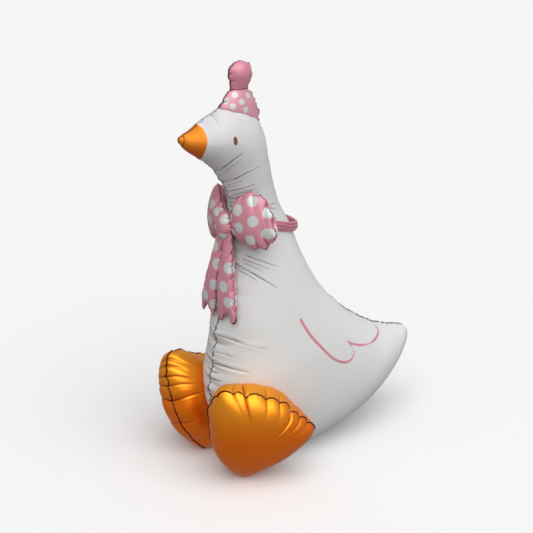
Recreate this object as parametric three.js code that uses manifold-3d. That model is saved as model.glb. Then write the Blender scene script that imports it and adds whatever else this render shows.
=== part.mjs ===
// A standing foil goose balloon: a white goose with an orange bill, two orange webbed feet,
// a pink party hat with a pompom, and a pink bow whose band goes round the neck.
// Every piece is a closed air cushion of two foil panels joined along one seam.
// Millimetres, +Z up. The goose faces -Y and its seam lies in the plane X = 0.
// The origin is on the floor, in the middle of the footprint.
import * as THREE from 'three';
import { mergeVertices } from 'three/addons/utils/BufferGeometryUtils.js';
import Module from 'manifold-3d';

const wasm = await Module();
wasm.setup();

// Driving dimensions.
const standingHeight = 1000; // floor to the top of the pompom
const pieceGap = 0.3; // between pieces that rest on each other
const footSplay = 27; // degrees that a foot turns out from straight ahead
const footLean = 16; // degrees that the top of a foot leans outwards
const footThickness = 140;
const footSinks = 2; // how far the floor flattens a foot
const footPuckers = 12;
const puckerDepth = 5; // how far the seam draws in at a pucker
const bandHeight = 23;
const bandThickness = 7;
const bandRise = 15; // how much higher the band's front lies than the waist of the bow
const bandFall = 38; // how much lower the band lies behind the neck than in front
const bandSlack = 12; // how far the band stands off behind the neck
const bandClearance = 1;
const knotWidth = 50;
const knotHeight = 67;
const knotDepth = 44;
const loopLean = 0.2; // how far a loop's lower half swings outwards, per mm of height
const bowTilt = 6; // degrees that the bow's left side is raised
const tailThickness = 28;
const leftTailTurn = 12; // degrees that the left tail turns round the chest

const perMille = standingHeight / 1000; // the free forms are drawn in shares of the height
const bowHeight = 613 * perMille; // floor to the knot's middle

const colours = {
  whiteFoil: { color: 0xe3e3e0, roughness: 0.38, metalness: 0.25 },
  orangeFoil: { color: 0xe88a1c, roughness: 0.35, metalness: 0.55 },
  pinkFoil: { color: 0xd98fa3, roughness: 0.4, metalness: 0.3 },
};

// Rings of the goose, from the tip of the bill to the tip of the tail.
// Each ring is strung between the upper seam and the lower seam:
// upper y, upper z, lower y, lower z, half thickness across, fullness of the section.
const gooseRings = [
  [-240, 836, -240, 834, 0, 2],
  [-236, 845, -234, 823, 11, 2],
  [-214, 853, -211, 802, 26, 1.9],
  [-187, 866, -182, 783, 41, 1.8],
  [-154, 884, -161, 767, 52, 1.8],
  [-104, 894, -145, 750, 58, 1.8],
  [-48, 874, -130, 731, 60, 1.8],
  [-18, 829, -116, 711, 58, 1.9],
  [-6, 765, -105, 691, 56, 2],
  [8, 705, -100, 668, 56, 2],
  [24, 655, -97, 640, 60, 2],
  [54, 598, -93, 590, 70, 2],
  [86, 520, -108, 496, 90, 2.1],
  [134, 435, -136, 396, 109, 2.2],
  [187, 373, -150, 292, 123, 2.3],
  [241, 323, -166, 205, 132, 2.3],
  [298, 284, -140, 92, 134, 2.2],
  [348, 257, -62, 6, 128, 2.1],
  [392, 242, 58, -8, 114, 2],
  [424, 233, 192, 14, 90, 1.9],
  [441, 229, 322, 77, 60, 1.9],
  [451, 226, 416, 139, 31, 1.9],
  [463, 206, 463, 192, 0, 2],
];

// Outline of a foot seen from its sole: forwards is -x, up is +y, from the foot's middle.
const footOutline = [
  [-80, 134], [-120, 104], [-128, 34], [-111, -64], [-45, -141],
  [10, -114], [88, -60], [127, -8], [86, 50], [34, 103],
];
const footMiddle = [131, -112, 136];

// Rings of the party hat and its pompom, from the brim up: y of the middle, z, half width, half thickness.
const hatRings = [
  [-74, 842, 0, 0],
  [-74, 856, 44, 15],
  [-76, 877, 51, 25],
  [-78, 898, 46, 25],
  [-80, 917, 37, 20],
  [-77, 936, 22, 14],
  [-74, 950, 26, 18],
  [-74, 970, 30, 22],
  [-74, 989, 22, 16],
  [-74, 1000, 0, 0],
];
const brimSlope = 0.39; // the brim falls to the back, per mm
const brimLevel = 905; // above this height the hat stands level

// Rings of one side of the bow, from the waist out: x, y behind the front of the neck,
// half height, half thickness.
const loopRings = [
  [0, -10, 15, 9],
  [22, -13, 24, 13],
  [46, -9, 46, 22],
  [70, 1, 63, 27],
  [92, 11, 65, 27],
  [110, 19, 50, 20],
  [121, 23, 23, 10],
  [124, 24, 0, 0],
];
const loopRise = 15; // how much higher a loop's middle lies than the waist

// Outline of one bow tail in its own plane: x out from the middle, z below the knot's middle.
const tailOutline = [
  [5, -17], [24, -17], [33, -68], [46, -138], [61, -190], [59, -220], [38, -199],
  [17, -224], [8, -190], [4, -133], [4, -68],
];
const tailTopOff = 28; // how far the tail's middle plane lies before the foil behind it
const tailFootOff = 9;
const tailTurnAt = 12; // x of the line that a tail turns about
const knotOff = 25;

// A smooth value through evenly spaced stations, for t from 0 to 1.
function through(stations, t, column, closed = false) {
  const count = stations.length;
  const spans = closed ? count : count - 1;
  const place = t * spans;
  const first = Math.min(Math.floor(place), spans - 1);
  const f = place - first;
  const at = (i) => {
    const index = closed ? (i + count) % count : Math.min(Math.max(i, 0), count - 1);
    return stations[index][column];
  };
  const [a, b, c, d] = [at(first - 1), at(first), at(first + 1), at(first + 2)];
  return b + 0.5 * f * (c - a + f * (2 * a - 5 * b + 4 * c - d + f * (3 * (b - c) + d - a)));
}

// A closed skin over rings of points: ring(t) gives one closed loop, and both ends shut in a pole.
function skin(ringAt, rings, around) {
  const positions = [];
  const faces = [];
  positions.push(...ringAt(0, 0));
  for (let i = 1; i < rings; i += 1) {
    for (let j = 0; j < around; j += 1) positions.push(...ringAt(i / rings, j / around));
  }
  positions.push(...ringAt(1, 0));
  const last = positions.length / 3 - 1;
  const at = (i, j) => 1 + (i - 1) * around + (j % around);
  for (let j = 0; j < around; j += 1) {
    faces.push(0, at(1, j), at(1, j + 1));
    faces.push(last, at(rings - 1, j + 1), at(rings - 1, j));
    for (let i = 1; i < rings - 1; i += 1) {
      faces.push(at(i, j), at(i + 1, j), at(i + 1, j + 1));
      faces.push(at(i, j), at(i + 1, j + 1), at(i, j + 1));
    }
  }
  const geometry = new THREE.BufferGeometry();
  geometry.setAttribute('position', new THREE.Float32BufferAttribute(positions, 3));
  geometry.setIndex(faces);
  return outward(geometry);
}

// Turns a closed geometry so that its faces point out.
function outward(geometry) {
  const p = geometry.attributes.position;
  const index = geometry.index.array;
  const [a, b, c] = [new THREE.Vector3(), new THREE.Vector3(), new THREE.Vector3()];
  let volume = 0;
  for (let i = 0; i < index.length; i += 3) {
    a.fromBufferAttribute(p, index[i]);
    b.fromBufferAttribute(p, index[i + 1]);
    c.fromBufferAttribute(p, index[i + 2]);
    volume += a.dot(b.cross(c));
  }
  if (volume < 0) {
    for (let i = 0; i < index.length; i += 3) [index[i], index[i + 1]] = [index[i + 1], index[i]];
  }
  return geometry;
}

// A point of a rounded section: 2 is an ellipse, more is fuller. The angle runs from the upper seam.
function sectionPoint(angle, fullness) {
  const c = Math.cos(angle);
  const s = Math.sin(angle);
  const power = 2 / fullness;
  return [Math.sign(c) * Math.abs(c) ** power, Math.sign(s) * Math.abs(s) ** power];
}

// Moves every point of a closed geometry out along its normal.
function grown(geometry, margin) {
  const copy = geometry.clone();
  copy.computeVertexNormals();
  const p = copy.attributes.position;
  const n = copy.attributes.normal;
  for (let i = 0; i < p.count; i += 1) {
    p.setX(i, p.getX(i) + margin * n.getX(i));
    p.setY(i, p.getY(i) + margin * n.getY(i));
    p.setZ(i, p.getZ(i) + margin * n.getZ(i));
  }
  return copy;
}

// A point of the goose's surface: t runs from bill to tail, turn goes round from the upper seam.
function goosePoint(t, turn) {
  const [uy, uz, ly, lz, half, fullness] = [0, 1, 2, 3, 4, 5].map((k) => through(gooseRings, t, k));
  const [c, s] = sectionPoint(2 * Math.PI * turn, fullness);
  return [
    Math.max(half, 0) * s * perMille,
    ((uy + ly) / 2 + ((uy - ly) / 2) * c) * perMille,
    ((uz + lz) / 2 + ((uz - lz) / 2) * c) * perMille,
  ];
}

// The point of the neck or chest at a height, on the line that runs down it at this turn.
function gooseAt(turn, height) {
  let [above, below] = [6 / 22, 16 / 22];
  for (let i = 0; i < 30; i += 1) {
    const middle = (above + below) / 2;
    if (goosePoint(middle, turn)[2] > height) above = middle;
    else below = middle;
  }
  return goosePoint(below, turn);
}

function frontAt(height) {
  return gooseAt(0.5, height)[1];
}

function gooseSkin() {
  return skin(goosePoint, 58, 22);
}

// A two-panel cushion over a closed outline. place() puts outline, height pairs in space.
function cushion({ outline, thickness, puckers, depth, rings, around, place }) {
  const middle = [0, 1].map((k) => outline.reduce((sum, p) => sum + p[k], 0) / outline.length);
  const reaches = outline.map((p) => Math.hypot(p[0] - middle[0], p[1] - middle[1]));
  const usual = reaches.reduce((sum, r) => sum + r, 0) / reaches.length;
  return skin((t, turn) => {
    const sweep = Math.PI * t;
    const edge = [0, 1].map((k) => through(outline, turn, k, true) - middle[k]);
    const nearSeam = Math.sin(sweep) ** 8;
    const wave = 0.65 - 0.35 * Math.cos(2 * Math.PI * puckers * turn);
    const size = Math.hypot(edge[0], edge[1]);
    const shrink = 1 - (depth * nearSeam * wave) / size;
    const spread = Math.sin(sweep) ** 0.9 * shrink;
    const blunt = Math.min(1.4, 0.8 * (size / usual) ** 1.6);
    const height = Math.sign(Math.cos(sweep)) * Math.abs(Math.cos(sweep)) ** blunt * thickness / 2;
    return place(middle[0] + edge[0] * spread, middle[1] + edge[1] * spread, height);
  }, rings, around);
}

function footSkin() {
  const splay = THREE.MathUtils.degToRad(footSplay);
  const lean = THREE.MathUtils.degToRad(footLean);
  const along = new THREE.Vector3(Math.sin(splay), Math.cos(splay), 0);
  const flatNormal = new THREE.Vector3(Math.cos(splay), -Math.sin(splay), 0);
  const up = new THREE.Vector3(0, 0, Math.cos(lean)).addScaledVector(flatNormal, Math.sin(lean));
  const sole = new THREE.Vector3(0, 0, -Math.sin(lean)).addScaledVector(flatNormal, Math.cos(lean));
  const middle = new THREE.Vector3(...footMiddle).multiplyScalar(perMille);
  middle.z -= footSinks;
  return cushion({
    outline: footOutline.map((p) => p.map((v) => v * perMille)),
    thickness: footThickness,
    puckers: footPuckers,
    depth: puckerDepth,
    rings: 12,
    around: 4 * footPuckers,
    place: (x, y, height) => middle.clone()
      .addScaledVector(along, x).addScaledVector(up, y).addScaledVector(sole, height).toArray(),
  });
}

function hatSkin() {
  return skin((t, turn) => {
    const [y, z, half, thick] = [0, 1, 2, 3].map((k) => through(hatRings, t, k));
    const [c, s] = sectionPoint(2 * Math.PI * turn, 2);
    const across = y - half * c;
    const fall = brimSlope * half * c * Math.min(1, Math.max(0, (brimLevel - z) / 30));
    return [thick * s, across, z + fall].map((v) => v * perMille);
  }, 22, 18);
}

function loopsSkin() {
  const bothSides = [
    ...loopRings.slice(1).reverse().map(([x, y, h, t]) => [-x, y, h, t]),
    ...loopRings,
  ];
  const front = frontAt(bowHeight);
  const cosTilt = Math.cos(THREE.MathUtils.degToRad(bowTilt));
  const sinTilt = Math.sin(THREE.MathUtils.degToRad(bowTilt));
  return skin((t, turn) => {
    const [x, y, high, thick] = [0, 1, 2, 3].map((k) => through(bothSides, t, k));
    const [c, s] = sectionPoint(2 * Math.PI * turn, 2);
    const z = loopRise * Math.min(1, Math.abs(x) / 60) + Math.max(high, 0) * c;
    const swing = -loopLean * Math.max(high, 0) * c * Math.sign(x) * Math.min(1, Math.abs(x) / 60);
    const back = Math.max(thick, 0) * s;
    const out = x + swing + 0.15 * back * Math.sign(x) * Math.min(1, Math.abs(x) / 30);
    return [
      (out * cosTilt - z * sinTilt) * perMille,
      front + (y - back) * perMille,
      bowHeight + (out * sinTilt + z * cosTilt) * perMille,
    ];
  }, 32, 18);
}

function knotSkin() {
  const middle = frontAt(bowHeight) - knotOff * perMille;
  return skin((t, turn) => {
    const sweep = Math.PI * t;
    const [c, s] = sectionPoint(2 * Math.PI * turn, 2.3);
    return [
      (knotWidth / 2) * Math.sin(sweep) ** 0.85 * s,
      middle + (knotDepth / 2) * Math.sin(sweep) ** 0.85 * c,
      bowHeight + (knotHeight / 2) * Math.cos(sweep),
    ];
  }, 12, 18);
}

function tailSkin(side, turn) {
  const [cosTurn, sinTurn] = [Math.cos(turn), Math.sin(turn)];
  const turnAt = tailTurnAt * perMille;
  const [topZ, footZ] = [tailOutline[0][1], tailOutline[7][1]].map((z) => bowHeight + z * perMille);
  const topY = frontAt(topZ) - tailTopOff * perMille;
  const footY = frontAt(footZ) - tailFootOff * perMille;
  return cushion({
    outline: tailOutline.map(([x, z]) => [x * side * perMille, bowHeight + z * perMille]),
    thickness: tailThickness,
    puckers: 1,
    depth: 0,
    rings: 8,
    around: 36,
    place: (x, z, height) => [
      turnAt + (x - turnAt) * cosTurn - height * sinTurn,
      topY + ((footY - topY) * (topZ - z)) / (topZ - footZ) + (x - turnAt) * sinTurn + height * cosTurn,
      z,
    ],
  });
}

// The band follows the neck with a clearance, and stands off behind it.
function bandSkin() {
  const steps = 48;
  const corners = 6;
  const turns = Array.from({ length: steps }, (_, i) => i / steps);
  const behind = turns.map((turn) => 0.5 + 0.5 * Math.cos(2 * Math.PI * turn));
  const onNeck = turns.map((turn, i) => gooseAt(turn, bowHeight + bandRise - bandFall * behind[i] ** 1.5));
  const positions = [];
  const faces = [];
  onNeck.forEach(([x, y, z], i) => {
    const before = onNeck[(i + steps - 1) % steps];
    const after = onNeck[(i + 1) % steps];
    const out = new THREE.Vector3(before[1] - after[1], after[0] - before[0], 0).normalize();
    const off = bandThickness / 2 + bandClearance + bandSlack * Math.max(0, 2 * behind[i] - 1) ** 2;
    for (let k = 0; k < corners; k += 1) {
      const round = (2 * Math.PI * (k + 0.5)) / corners;
      const reach = off + (bandThickness / 2) * Math.sin(round);
      positions.push(x + out.x * reach, y + out.y * reach, z + (bandHeight / 2) * Math.cos(round));
      const next = (k + 1) % corners;
      const far = (i + 1) % steps;
      faces.push(i * corners + k, i * corners + next, far * corners + next);
      faces.push(i * corners + k, far * corners + next, far * corners + k);
    }
  });
  const geometry = new THREE.BufferGeometry();
  geometry.setAttribute('position', new THREE.Float32BufferAttribute(positions, 3));
  geometry.setIndex(faces);
  return outward(geometry);
}

// Closed geometry to solid and back, for cutting and joining.
function solid(geometry) {
  const bare = geometry.clone();
  bare.deleteAttribute('normal');
  bare.deleteAttribute('uv');
  const merged = mergeVertices(bare, 1e-4);
  return new wasm.Manifold(new wasm.Mesh({
    numProp: 3,
    vertProperties: new Float32Array(merged.attributes.position.array),
    triVerts: new Uint32Array(merged.index.array),
  }));
}

function largest(shape) {
  return shape.decompose().reduce((best, s) => (s.volume() > best.volume() ? s : best));
}

function piece(name, shape, finish) {
  const cut = shape.getMesh();
  const geometry = new THREE.BufferGeometry();
  geometry.setAttribute('position', new THREE.BufferAttribute(new Float32Array(cut.vertProperties), 3));
  geometry.setIndex(new THREE.BufferAttribute(new Uint32Array(cut.triVerts), 1));
  geometry.computeVertexNormals();
  const mesh = new THREE.Mesh(geometry, new THREE.MeshStandardMaterial(finish));
  mesh.name = name;
  return mesh;
}

function underFloor() {
  const size = 3 * standingHeight;
  const slab = new THREE.BoxGeometry(size, size, size);
  slab.translate(0, 0, -size / 2);
  return solid(slab);
}

function mirrored(geometry) {
  const copy = geometry.clone();
  copy.scale(-1, 1, 1);
  return outward(copy);
}

// Pieces that lie on others are cut to them, in this order, with the gap between them.
const laid = [underFloor()];

function lay(name, geometry, finish) {
  const shape = largest(laid.reduce((rest, other) => rest.subtract(other), solid(geometry)));
  laid.push(solid(grown(geometry, pieceGap)));
  group.add(piece(name, shape, finish));
}

const group = new THREE.Group();
const footLeft = footSkin();
lay('goose_body', gooseSkin(), colours.whiteFoil);
lay('foot_left', footLeft, colours.orangeFoil);
lay('foot_right', mirrored(footLeft), colours.orangeFoil);
lay('party_hat', hatSkin(), colours.pinkFoil);
lay('neck_band', bandSkin(), colours.pinkFoil);
lay('bow_loops', loopsSkin(), colours.pinkFoil);
lay('bow_knot', knotSkin(), colours.pinkFoil);
lay('bow_tail_left', tailSkin(1, THREE.MathUtils.degToRad(leftTailTurn)), colours.pinkFoil);
lay('bow_tail_right', tailSkin(-1, 0), colours.pinkFoil);

// The origin goes to the middle of the footprint.
const box = new THREE.Box3().setFromObject(group);
group.position.set(0, -(box.min.y + box.max.y) / 2, 0);

export default group;
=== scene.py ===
import math

import bpy
import numpy as np
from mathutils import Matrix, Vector


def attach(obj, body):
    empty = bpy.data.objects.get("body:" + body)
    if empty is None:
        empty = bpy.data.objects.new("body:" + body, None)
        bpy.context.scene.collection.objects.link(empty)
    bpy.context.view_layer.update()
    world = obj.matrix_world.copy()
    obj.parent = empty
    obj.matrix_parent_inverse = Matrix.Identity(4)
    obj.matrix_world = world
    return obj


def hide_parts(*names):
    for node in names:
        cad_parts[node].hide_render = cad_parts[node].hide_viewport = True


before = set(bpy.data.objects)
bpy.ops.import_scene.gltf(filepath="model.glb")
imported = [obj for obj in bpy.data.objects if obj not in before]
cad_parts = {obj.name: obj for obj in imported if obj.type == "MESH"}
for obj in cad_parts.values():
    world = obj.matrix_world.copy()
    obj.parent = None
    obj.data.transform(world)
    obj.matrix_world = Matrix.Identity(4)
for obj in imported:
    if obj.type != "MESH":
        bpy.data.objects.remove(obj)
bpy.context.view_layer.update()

mm = 0.001
footprint = -110.5  # moves the forms, which are drawn round the neck, over the footprint's middle
stripHalf = 0.35  # half the thickness of a sealed edge
offTheFoil = 0.5  # the gap between a piece and the foil that it lies on


# A smooth curve through evenly spaced stations: a cubic between each two, its slopes taken from
# the neighbours. t runs from 0 to 1 and may be an array of any shape.
def through(stations, t, closed=False):
    table = np.asarray(stations, float)
    count = len(table)
    spans = count if closed else count - 1
    place = np.asarray(t, float) * spans
    first = np.minimum(np.floor(place).astype(int), spans - 1)
    f = (place - first)[..., None]

    def at(i):
        return table[i % count] if closed else table[np.clip(i, 0, count - 1)]

    a, b, c, d = at(first - 1), at(first), at(first + 1), at(first + 2)
    return b + 0.5 * f * (c - a + f * (2 * a - 5 * b + 4 * c - d + f * (3 * (b - c) + d - a)))


# A power of a number that keeps its sign.
def signedPower(value, power):
    return np.sign(value) * np.abs(value) ** power


# 0 below the first value, 1 above the second, and a smooth step between them.
def ease(low, high, value):
    f = np.clip((value - low) / (high - low), 0, 1)
    return f * f * (3 - 2 * f)


# Running lengths along an axis of the grid, starting at zero.
def running(p, axis):
    step = np.linalg.norm(np.diff(p, axis=axis), axis=2)
    start = np.zeros_like(step[:1] if axis == 0 else step[:, :1])
    return np.concatenate([start, np.cumsum(step, axis=axis)], axis=axis)


# Unit normals of a grid closed round its columns: the cross product of the two grid directions,
# turned outwards. A pole takes the mean of the row beside it.
def normalsOf(p):
    down = np.empty_like(p)
    down[1:-1] = p[2:] - p[:-2]
    down[0], down[-1] = p[1] - p[0], p[-1] - p[-2]
    n = np.cross(np.roll(p, -1, 1) - np.roll(p, 1, 1), down)
    n[0], n[-1] = n[1].mean(0), n[-2].mean(0)
    n /= np.linalg.norm(n, axis=2, keepdims=True) + 1e-12
    middle = (p.max((0, 1)) + p.min((0, 1))) / 2
    return n if ((p - middle) * n).sum() > 0 else -n


# Where the gathers of a seam lie: uneven steps of about the spacing, and the fixed ones kept.
def gathersAlong(total, spacing, rng, fixed=()):
    cuts = [0.0]
    base = np.mean([row[1] for row in spacing]) if isinstance(spacing, list) else spacing
    while cuts[-1] < total:
        wanted = np.interp(cuts[-1], *zip(*spacing)) if isinstance(spacing, list) else spacing
        cuts.append(cuts[-1] + wanted * rng.uniform(0.6, 1.4))
    cuts = np.array(cuts) * total / cuts[-1]
    near = [min(abs(cut - spot) for spot in fixed) if len(fixed) else 1e9 for cut in cuts]
    free = [cut for cut, gap in zip(cuts, near) if gap > 0.45 * base or cut in (cuts[0], cuts[-1])]
    return np.unique(free + list(fixed))


# How strongly each gather is drawn in: uneven, and as given where it is known.
def gatherPower(cuts, seed, strong=()):
    power = np.random.default_rng(seed + 500).uniform(0.15, 0.85, len(cuts))
    for spot, known in strong:
        power[np.argmin(np.abs(cuts - spot))] = known
    power[-1] = power[0]
    return power


# Gathered foil beside a seam: its height, the signed way across to the nearest gather, and the
# strength of the crease that runs on from it, which sets how dark its painted shade line is. Between two
# gathers the foil stands up as a parabola, so it meets in a sharp valley at each, and both fade with the
# distance from the seam.
# s is the length along the seam, d the distance from it.
def gatheredFoil(s, d, cuts, reach, seed, strong=()):
    rng = np.random.default_rng(seed)
    count = len(cuts) - 1
    s = s + 0.22 * d * np.sin(s / 43 + seed) * np.clip(np.minimum(s, cuts[-1] - s) / 60, 0, 1)
    place = np.interp(s, cuts, np.arange(count + 1))
    cell = np.minimum(place.astype(int), count - 1)
    f = place - cell
    strength = rng.uniform(0.55, 1.2, count)
    wide = np.clip(np.diff(cuts) / np.diff(cuts).mean(), 0.4, 1.5)
    power = gatherPower(cuts, seed, strong)
    fade = (0.55 + 0.6 * power) * reach
    far = fade[cell] * (1 - f) + fade[cell + 1] * f
    deep = power[cell] * (1 - f) ** 3 + power[cell + 1] * f ** 3
    rise = (4 * f * (1 - f) * strength[cell] * wide[cell] - 0.75 * deep) * np.exp(-((d / far) ** 1.3))
    nearest = cell + (f > 0.5)
    across = s - cuts[nearest]
    off = np.abs(across)
    long = (power ** 1.5 * 2.0 * reach)[nearest]
    inward = np.clip(1 - d / long, 0, 1) ** 0.8 * power[nearest]
    valley = np.exp(-off / (1.3 + 0.035 * d)) * inward
    ridge = np.exp(-(((off - 4.5 - 0.06 * d) / 3) ** 2)) * inward
    line = inward * (1 - ease(0.22, 0.42, off / np.diff(cuts)[cell]))
    return rise + (0.22 * ridge - 0.5 * valley) * ease(0, 5, d), across, line


# Large and small gathers together, each with its own spacing, depth and reach, as a height and the
# layers that draw their creases as lines of painted shade. strong are the lengths along the seam of gathers
# whose place is known.
def seamRelief(look, s, d, seed, strong=(), total=None):
    height, creases = 0, {}
    total = s.max() if total is None else total
    for part in ("large", "small"):
        spacing, depth, reach = look[part]
        fixed = strong if part == "large" else ()
        rng = np.random.default_rng(seed + len(part))
        cuts = gathersAlong(total, spacing, rng, [row[0] for row in fixed])
        rise, across, line = gatheredFoil(s, d, cuts, reach, seed + len(part), fixed)
        along = np.interp(s, *zip(*depth)) if isinstance(depth, list) else depth
        height = height + along * rise
        creases[part + "Way"], creases[part + "Line"] = across, line * np.minimum(1, along / 2)
    return height, creases


# Creases along lines of points, as a height, the signed way across to the nearest one and its
# strength, which sets how dark its painted shade line is: each is a narrow valley with a soft ridge on both
# sides, worked out from the distance to its line, and fades towards the line's end.
def creaseLines(p, n, lines):
    height, closest = np.zeros(p.shape[:2]), np.full(p.shape[:2], 1e9)
    way, strength = np.full(p.shape[:2], 99.0), np.zeros(p.shape[:2])
    for points, depth, width in lines:
        line = np.asarray(points, float)
        line = through(line, np.linspace(0, 1, 13)) if len(line) > 2 else np.linspace(line[0], line[-1], 9)
        best, share, side = np.full(p.shape[:2], 1e9), np.zeros(p.shape[:2]), np.ones(p.shape[:2])
        for k in range(len(line) - 1):
            a, step = line[k], line[k + 1] - line[k]
            f = np.clip((p - a) @ step / (step @ step), 0, 1)
            gap = np.linalg.norm(p - a - f[..., None] * step, axis=2)
            turn = np.sign((np.cross(step, p - a) * n).sum(2))
            share = np.where(gap < best, (k + f) / (len(line) - 1), share)
            side = np.where(gap < best, turn, side)
            best = np.minimum(best, gap)
        fade = np.clip(1 - share, 0, 1) ** 0.45 * ease(-0.05, 0.08, share)
        ridge = 0.45 * np.exp(-(((best - 2.2 * width) / width) ** 2))
        height += depth * fade * (ridge - np.exp(-best / width))
        here = fade * min(1, depth / 3.0) * (1 - ease(3.5, 7, best))
        way = np.where(best < closest, best * side, way)
        strength = np.where(best < closest, here, strength)
        closest = np.minimum(best, closest)
    return height, way, strength


# Distance from the points of a grid to a line of points.
def distanceTo(p, line):
    line = np.asarray(line, float)
    best = np.full(p.shape[:2], 1e9)
    for a, b in zip(line[:-1], line[1:]):
        f = np.clip((p - a) @ (b - a) / ((b - a) @ (b - a) + 1e-9), 0, 1)
        best = np.minimum(best, np.linalg.norm(p - a - f[..., None] * (b - a), axis=2))
    return best


# Low swells all over a piece: the mean of nine plane waves of the position.
def swells(p, size, seed):
    rng = np.random.default_rng(seed)
    total = np.zeros(p.shape[:2])
    for _ in range(9):
        way = rng.normal(size=3)
        way /= np.linalg.norm(way)
        total += np.sin(p @ way * (2 * np.pi / (size * rng.uniform(0.6, 1.8))) + rng.uniform(0, 6.28))
    return total / 9


# Puts the sealed edge on a seam: the line of the grid becomes four, the foot of the edge and its
# rim on both sides, so that a thin strip stands out along the normal. layers get the same lines.
def sealedEdge(p, n, axis, at, width, layers):
    p, n = (np.moveaxis(a, axis, 0) for a in (p, n))
    count = len(p)
    across = p[(at + 1) % count] - p[(at - 1) % count]
    size = np.linalg.norm(across, axis=1, keepdims=True) + 1e-9
    way = across / size
    thin = np.minimum(stripHalf, 0.1 * size)
    high = width * ease(1.5, 7, size)
    lines = [p[at] - thin * way, p[at] + high * n[at] - 0.6 * thin * way,
             p[at] + high * n[at] + 0.6 * thin * way, p[at] + thin * way]
    out = np.concatenate([p[:at], np.stack(lines), p[at + 1:]])
    made = {}
    for key, values in layers.items():
        v = np.moveaxis(values, axis, 0)
        rim = v[at] - (high[:, 0] if key == "seamGap" else 0)
        lined = np.concatenate([v[:at], np.stack([v[at], rim, rim, v[at]]), v[at + 1:]])
        made[key] = np.moveaxis(lined, 0, axis)
    return np.moveaxis(out, 0, axis), made


# Puts the sealed edge on both halves of a pole-to-pole seam, the lower half first.
def sealBoth(p, n, width, layers):
    p, layers = sealedEdge(p, n, 1, p.shape[1] // 2, width, layers)
    n = np.concatenate([n, n[:, :3]], axis=1)
    return sealedEdge(p, n, 1, 0, width, layers)


# Puts new data into the scene as an object at the origin.
def intoScene(name, data):
    made = bpy.data.objects.new(name, data)
    bpy.context.scene.collection.objects.link(made)
    return made


# A smooth mesh from points in mm and faces, with the layers as named values on its points.
def newPiece(name, points, faces, layers):
    mesh = bpy.data.meshes.new(name)
    mesh.from_pydata((points * mm).tolist(), [], faces)
    mesh.polygons.foreach_set("use_smooth", np.ones(len(mesh.polygons), bool))
    for key, values in layers.items():
        attribute = mesh.attributes.new(key, "FLOAT", "POINT")
        attribute.data.foreach_set("value", values.ravel().astype(np.float32))
    mesh.update()
    return intoScene(name, mesh)


# A closed piece from a grid: quads between the rows and a fan at each pole.
def foilMesh(name, p, layers):
    rows, cols = p.shape[:2]
    points = np.concatenate([p[0, :1], p[1:-1].reshape(-1, 3), p[-1, :1]])
    index = 1 + np.arange((rows - 2) * cols).reshape(rows - 2, cols)
    right = np.roll(index, -1, 1)
    quads = np.stack([index[:-1], index[1:], right[1:], right[:-1]], -1).reshape(-1, 4)
    last = len(points) - 1
    head = np.stack([np.zeros(cols, int), index[0], right[0]], -1)
    tail = np.stack([np.full(cols, last), right[-1], index[-1]], -1)
    a, b, c = points[quads[:, 0]], points[quads[:, 1]], points[quads[:, 2]]
    middle = (points.max(0) + points.min(0)) / 2
    if (np.cross(b - a, c - a) * (a - middle)).sum() < 0:
        quads, head, tail = quads[:, ::-1], head[:, ::-1], tail[:, ::-1]
    flat = {key: np.concatenate([v[0, :1], v[1:-1].ravel(), v[-1, :1]]) for key, v in layers.items()}
    return newPiece(name, points, quads.tolist() + head.tolist() + tail.tolist(), flat)


# Lays a piece against others: a point that lies inside one of them goes out along an axis to its
# surface and a little off it. Each is a Shrinkwrap modifier, which is applied.
def laidAgainst(piece, others, axis, outwards):
    for other in others:
        lay = piece.modifiers.new("laidAgainst", "SHRINKWRAP")
        lay.target = other
        lay.wrap_method = "PROJECT"
        lay.wrap_mode = "OUTSIDE_SURFACE"
        setattr(lay, "use_project_" + axis, True)
        lay.use_positive_direction = outwards > 0
        lay.use_negative_direction = outwards < 0
        lay.cull_face = "FRONT"
        lay.offset = offTheFoil * mm
    bpy.context.view_layer.update()
    made = bpy.data.meshes.new_from_object(piece.evaluated_get(bpy.context.evaluated_depsgraph_get()))
    piece.modifiers.clear()
    piece.data = made
    return piece


# Gives a foil piece its material, its body, the solid it stands for and its finish.
def dress(piece, material, cadNode):
    piece.data.materials.append(material)
    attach(piece, "root")
    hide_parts(cadNode)
    print(piece.name, len(piece.data.polygons), "faces")
    return piece


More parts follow.
